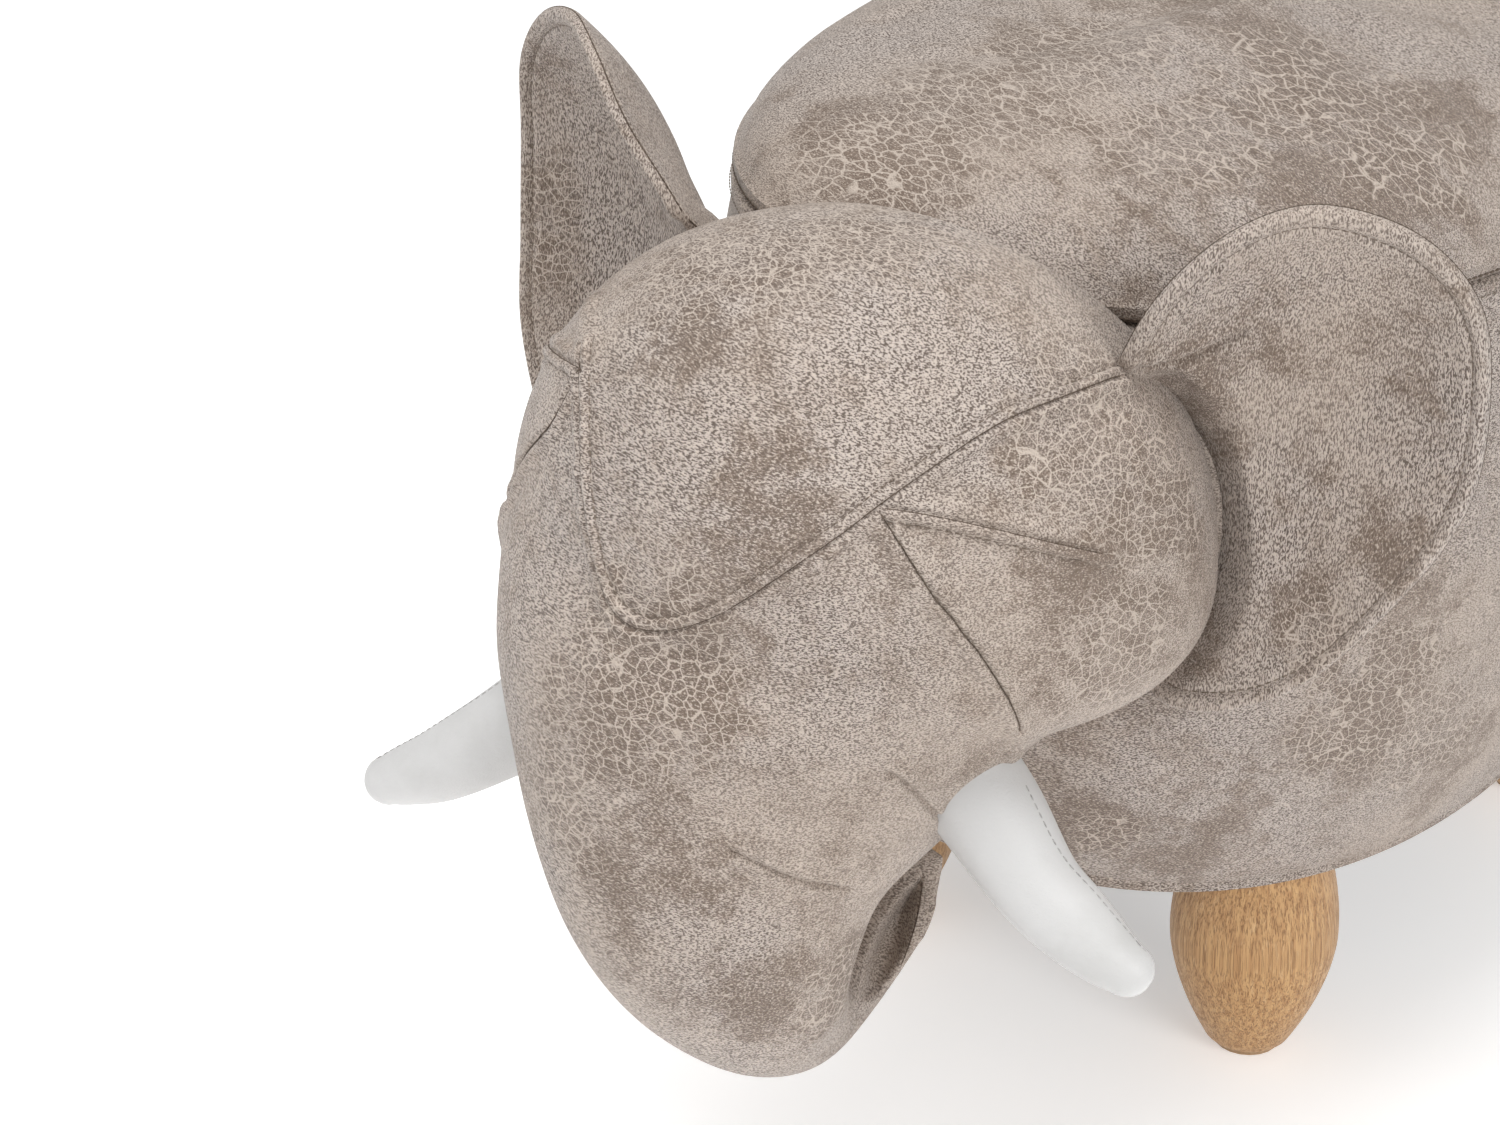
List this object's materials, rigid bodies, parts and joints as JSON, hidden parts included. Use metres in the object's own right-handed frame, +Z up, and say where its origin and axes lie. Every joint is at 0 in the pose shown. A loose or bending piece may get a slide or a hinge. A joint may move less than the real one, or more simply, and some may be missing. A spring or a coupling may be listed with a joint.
{
  "type": "storage pouf",
  "caption": "Stuffed leather elephant pouf on turned wooden legs, whose hinged padded lid opens to a lined storage well.",
  "frame": {"origin": "on the floor, under the middle of the bounding box", "axes": "+Z up, -Y the way the elephant faces, +X its left side"},
  "size_m": [0.3987, 0.6685, 0.414],
  "materials": {
    "hide": "distressed suede-like leather cloth over foam",
    "ivory": "smooth white leather cloth, stuffed",
    "oak": "turned, satin clear lacquer",
    "ply": "unfinished plywood",
    "cloth": "black non-woven cloth",
    "felt": "pressed felt",
    "steel": "zinc plated"
  },
  "bodies": {
    "pouf_body": {"base_board": "ply", "front_panel": "ply", "rear_panel": "ply", "left_panel": "ply", "right_panel": "ply", "corner_block_front_left": "ply", "corner_block_front_right": "ply", "corner_block_rear_left": "ply", "corner_block_rear_right": "ply", "rear_rail": "oak", "neck_block": "ply", "neck_bolt_upper": "steel", "neck_bolt_lower": "steel", "well_lining": "cloth", "dust_cover": "cloth", "chest_pad": "hide", "rump_pad": "hide", "left_flank_pad": "hide", "right_flank_pad": "hide", "head": "hide", "trunk": "hide", "tusk_left": "ivory", "tusk_right": "ivory", "ear_left": "hide", "ear_right": "hide", "tail": "hide", "tail_tuft": "hide", "leg_front_left": "oak", "leg_front_right": "oak", "leg_rear_left": "oak", "leg_rear_right": "oak", "glide_front_left": "felt", "glide_front_right": "felt", "glide_rear_left": "felt", "glide_rear_right": "felt", "leg_bolt_front_left": "steel", "leg_bolt_front_right": "steel", "leg_bolt_rear_left": "steel", "leg_bolt_rear_right": "steel", "tee_nut_front_left": "steel", "tee_nut_front_right": "steel", "tee_nut_rear_left": "steel", "tee_nut_rear_right": "steel", "hinge_base_leaf_left": "steel", "hinge_base_leaf_right": "steel", "hinge_pin_left": "steel", "hinge_pin_right": "steel", "base_screw_left_1": "steel", "base_screw_left_2": "steel", "base_screw_right_1": "steel", "base_screw_right_2": "steel"},
    "lid": {"lid_board": "ply", "lid_cushion": "hide", "lid_lining": "cloth", "hinge_lid_leaf_left": "steel", "hinge_lid_leaf_right": "steel", "lid_screw_left_1": "steel", "lid_screw_left_2": "steel", "lid_screw_right_1": "steel", "lid_screw_right_2": "steel"}
  },
  "joints": [
    {"name": "lid_hinge", "type": "hinge", "parent": "pouf_body", "child": "lid", "pos_m": [0, 0.3027, 0.34415], "axis": [-1, 0, 0], "range_deg": [0, 88]}
  ]
}
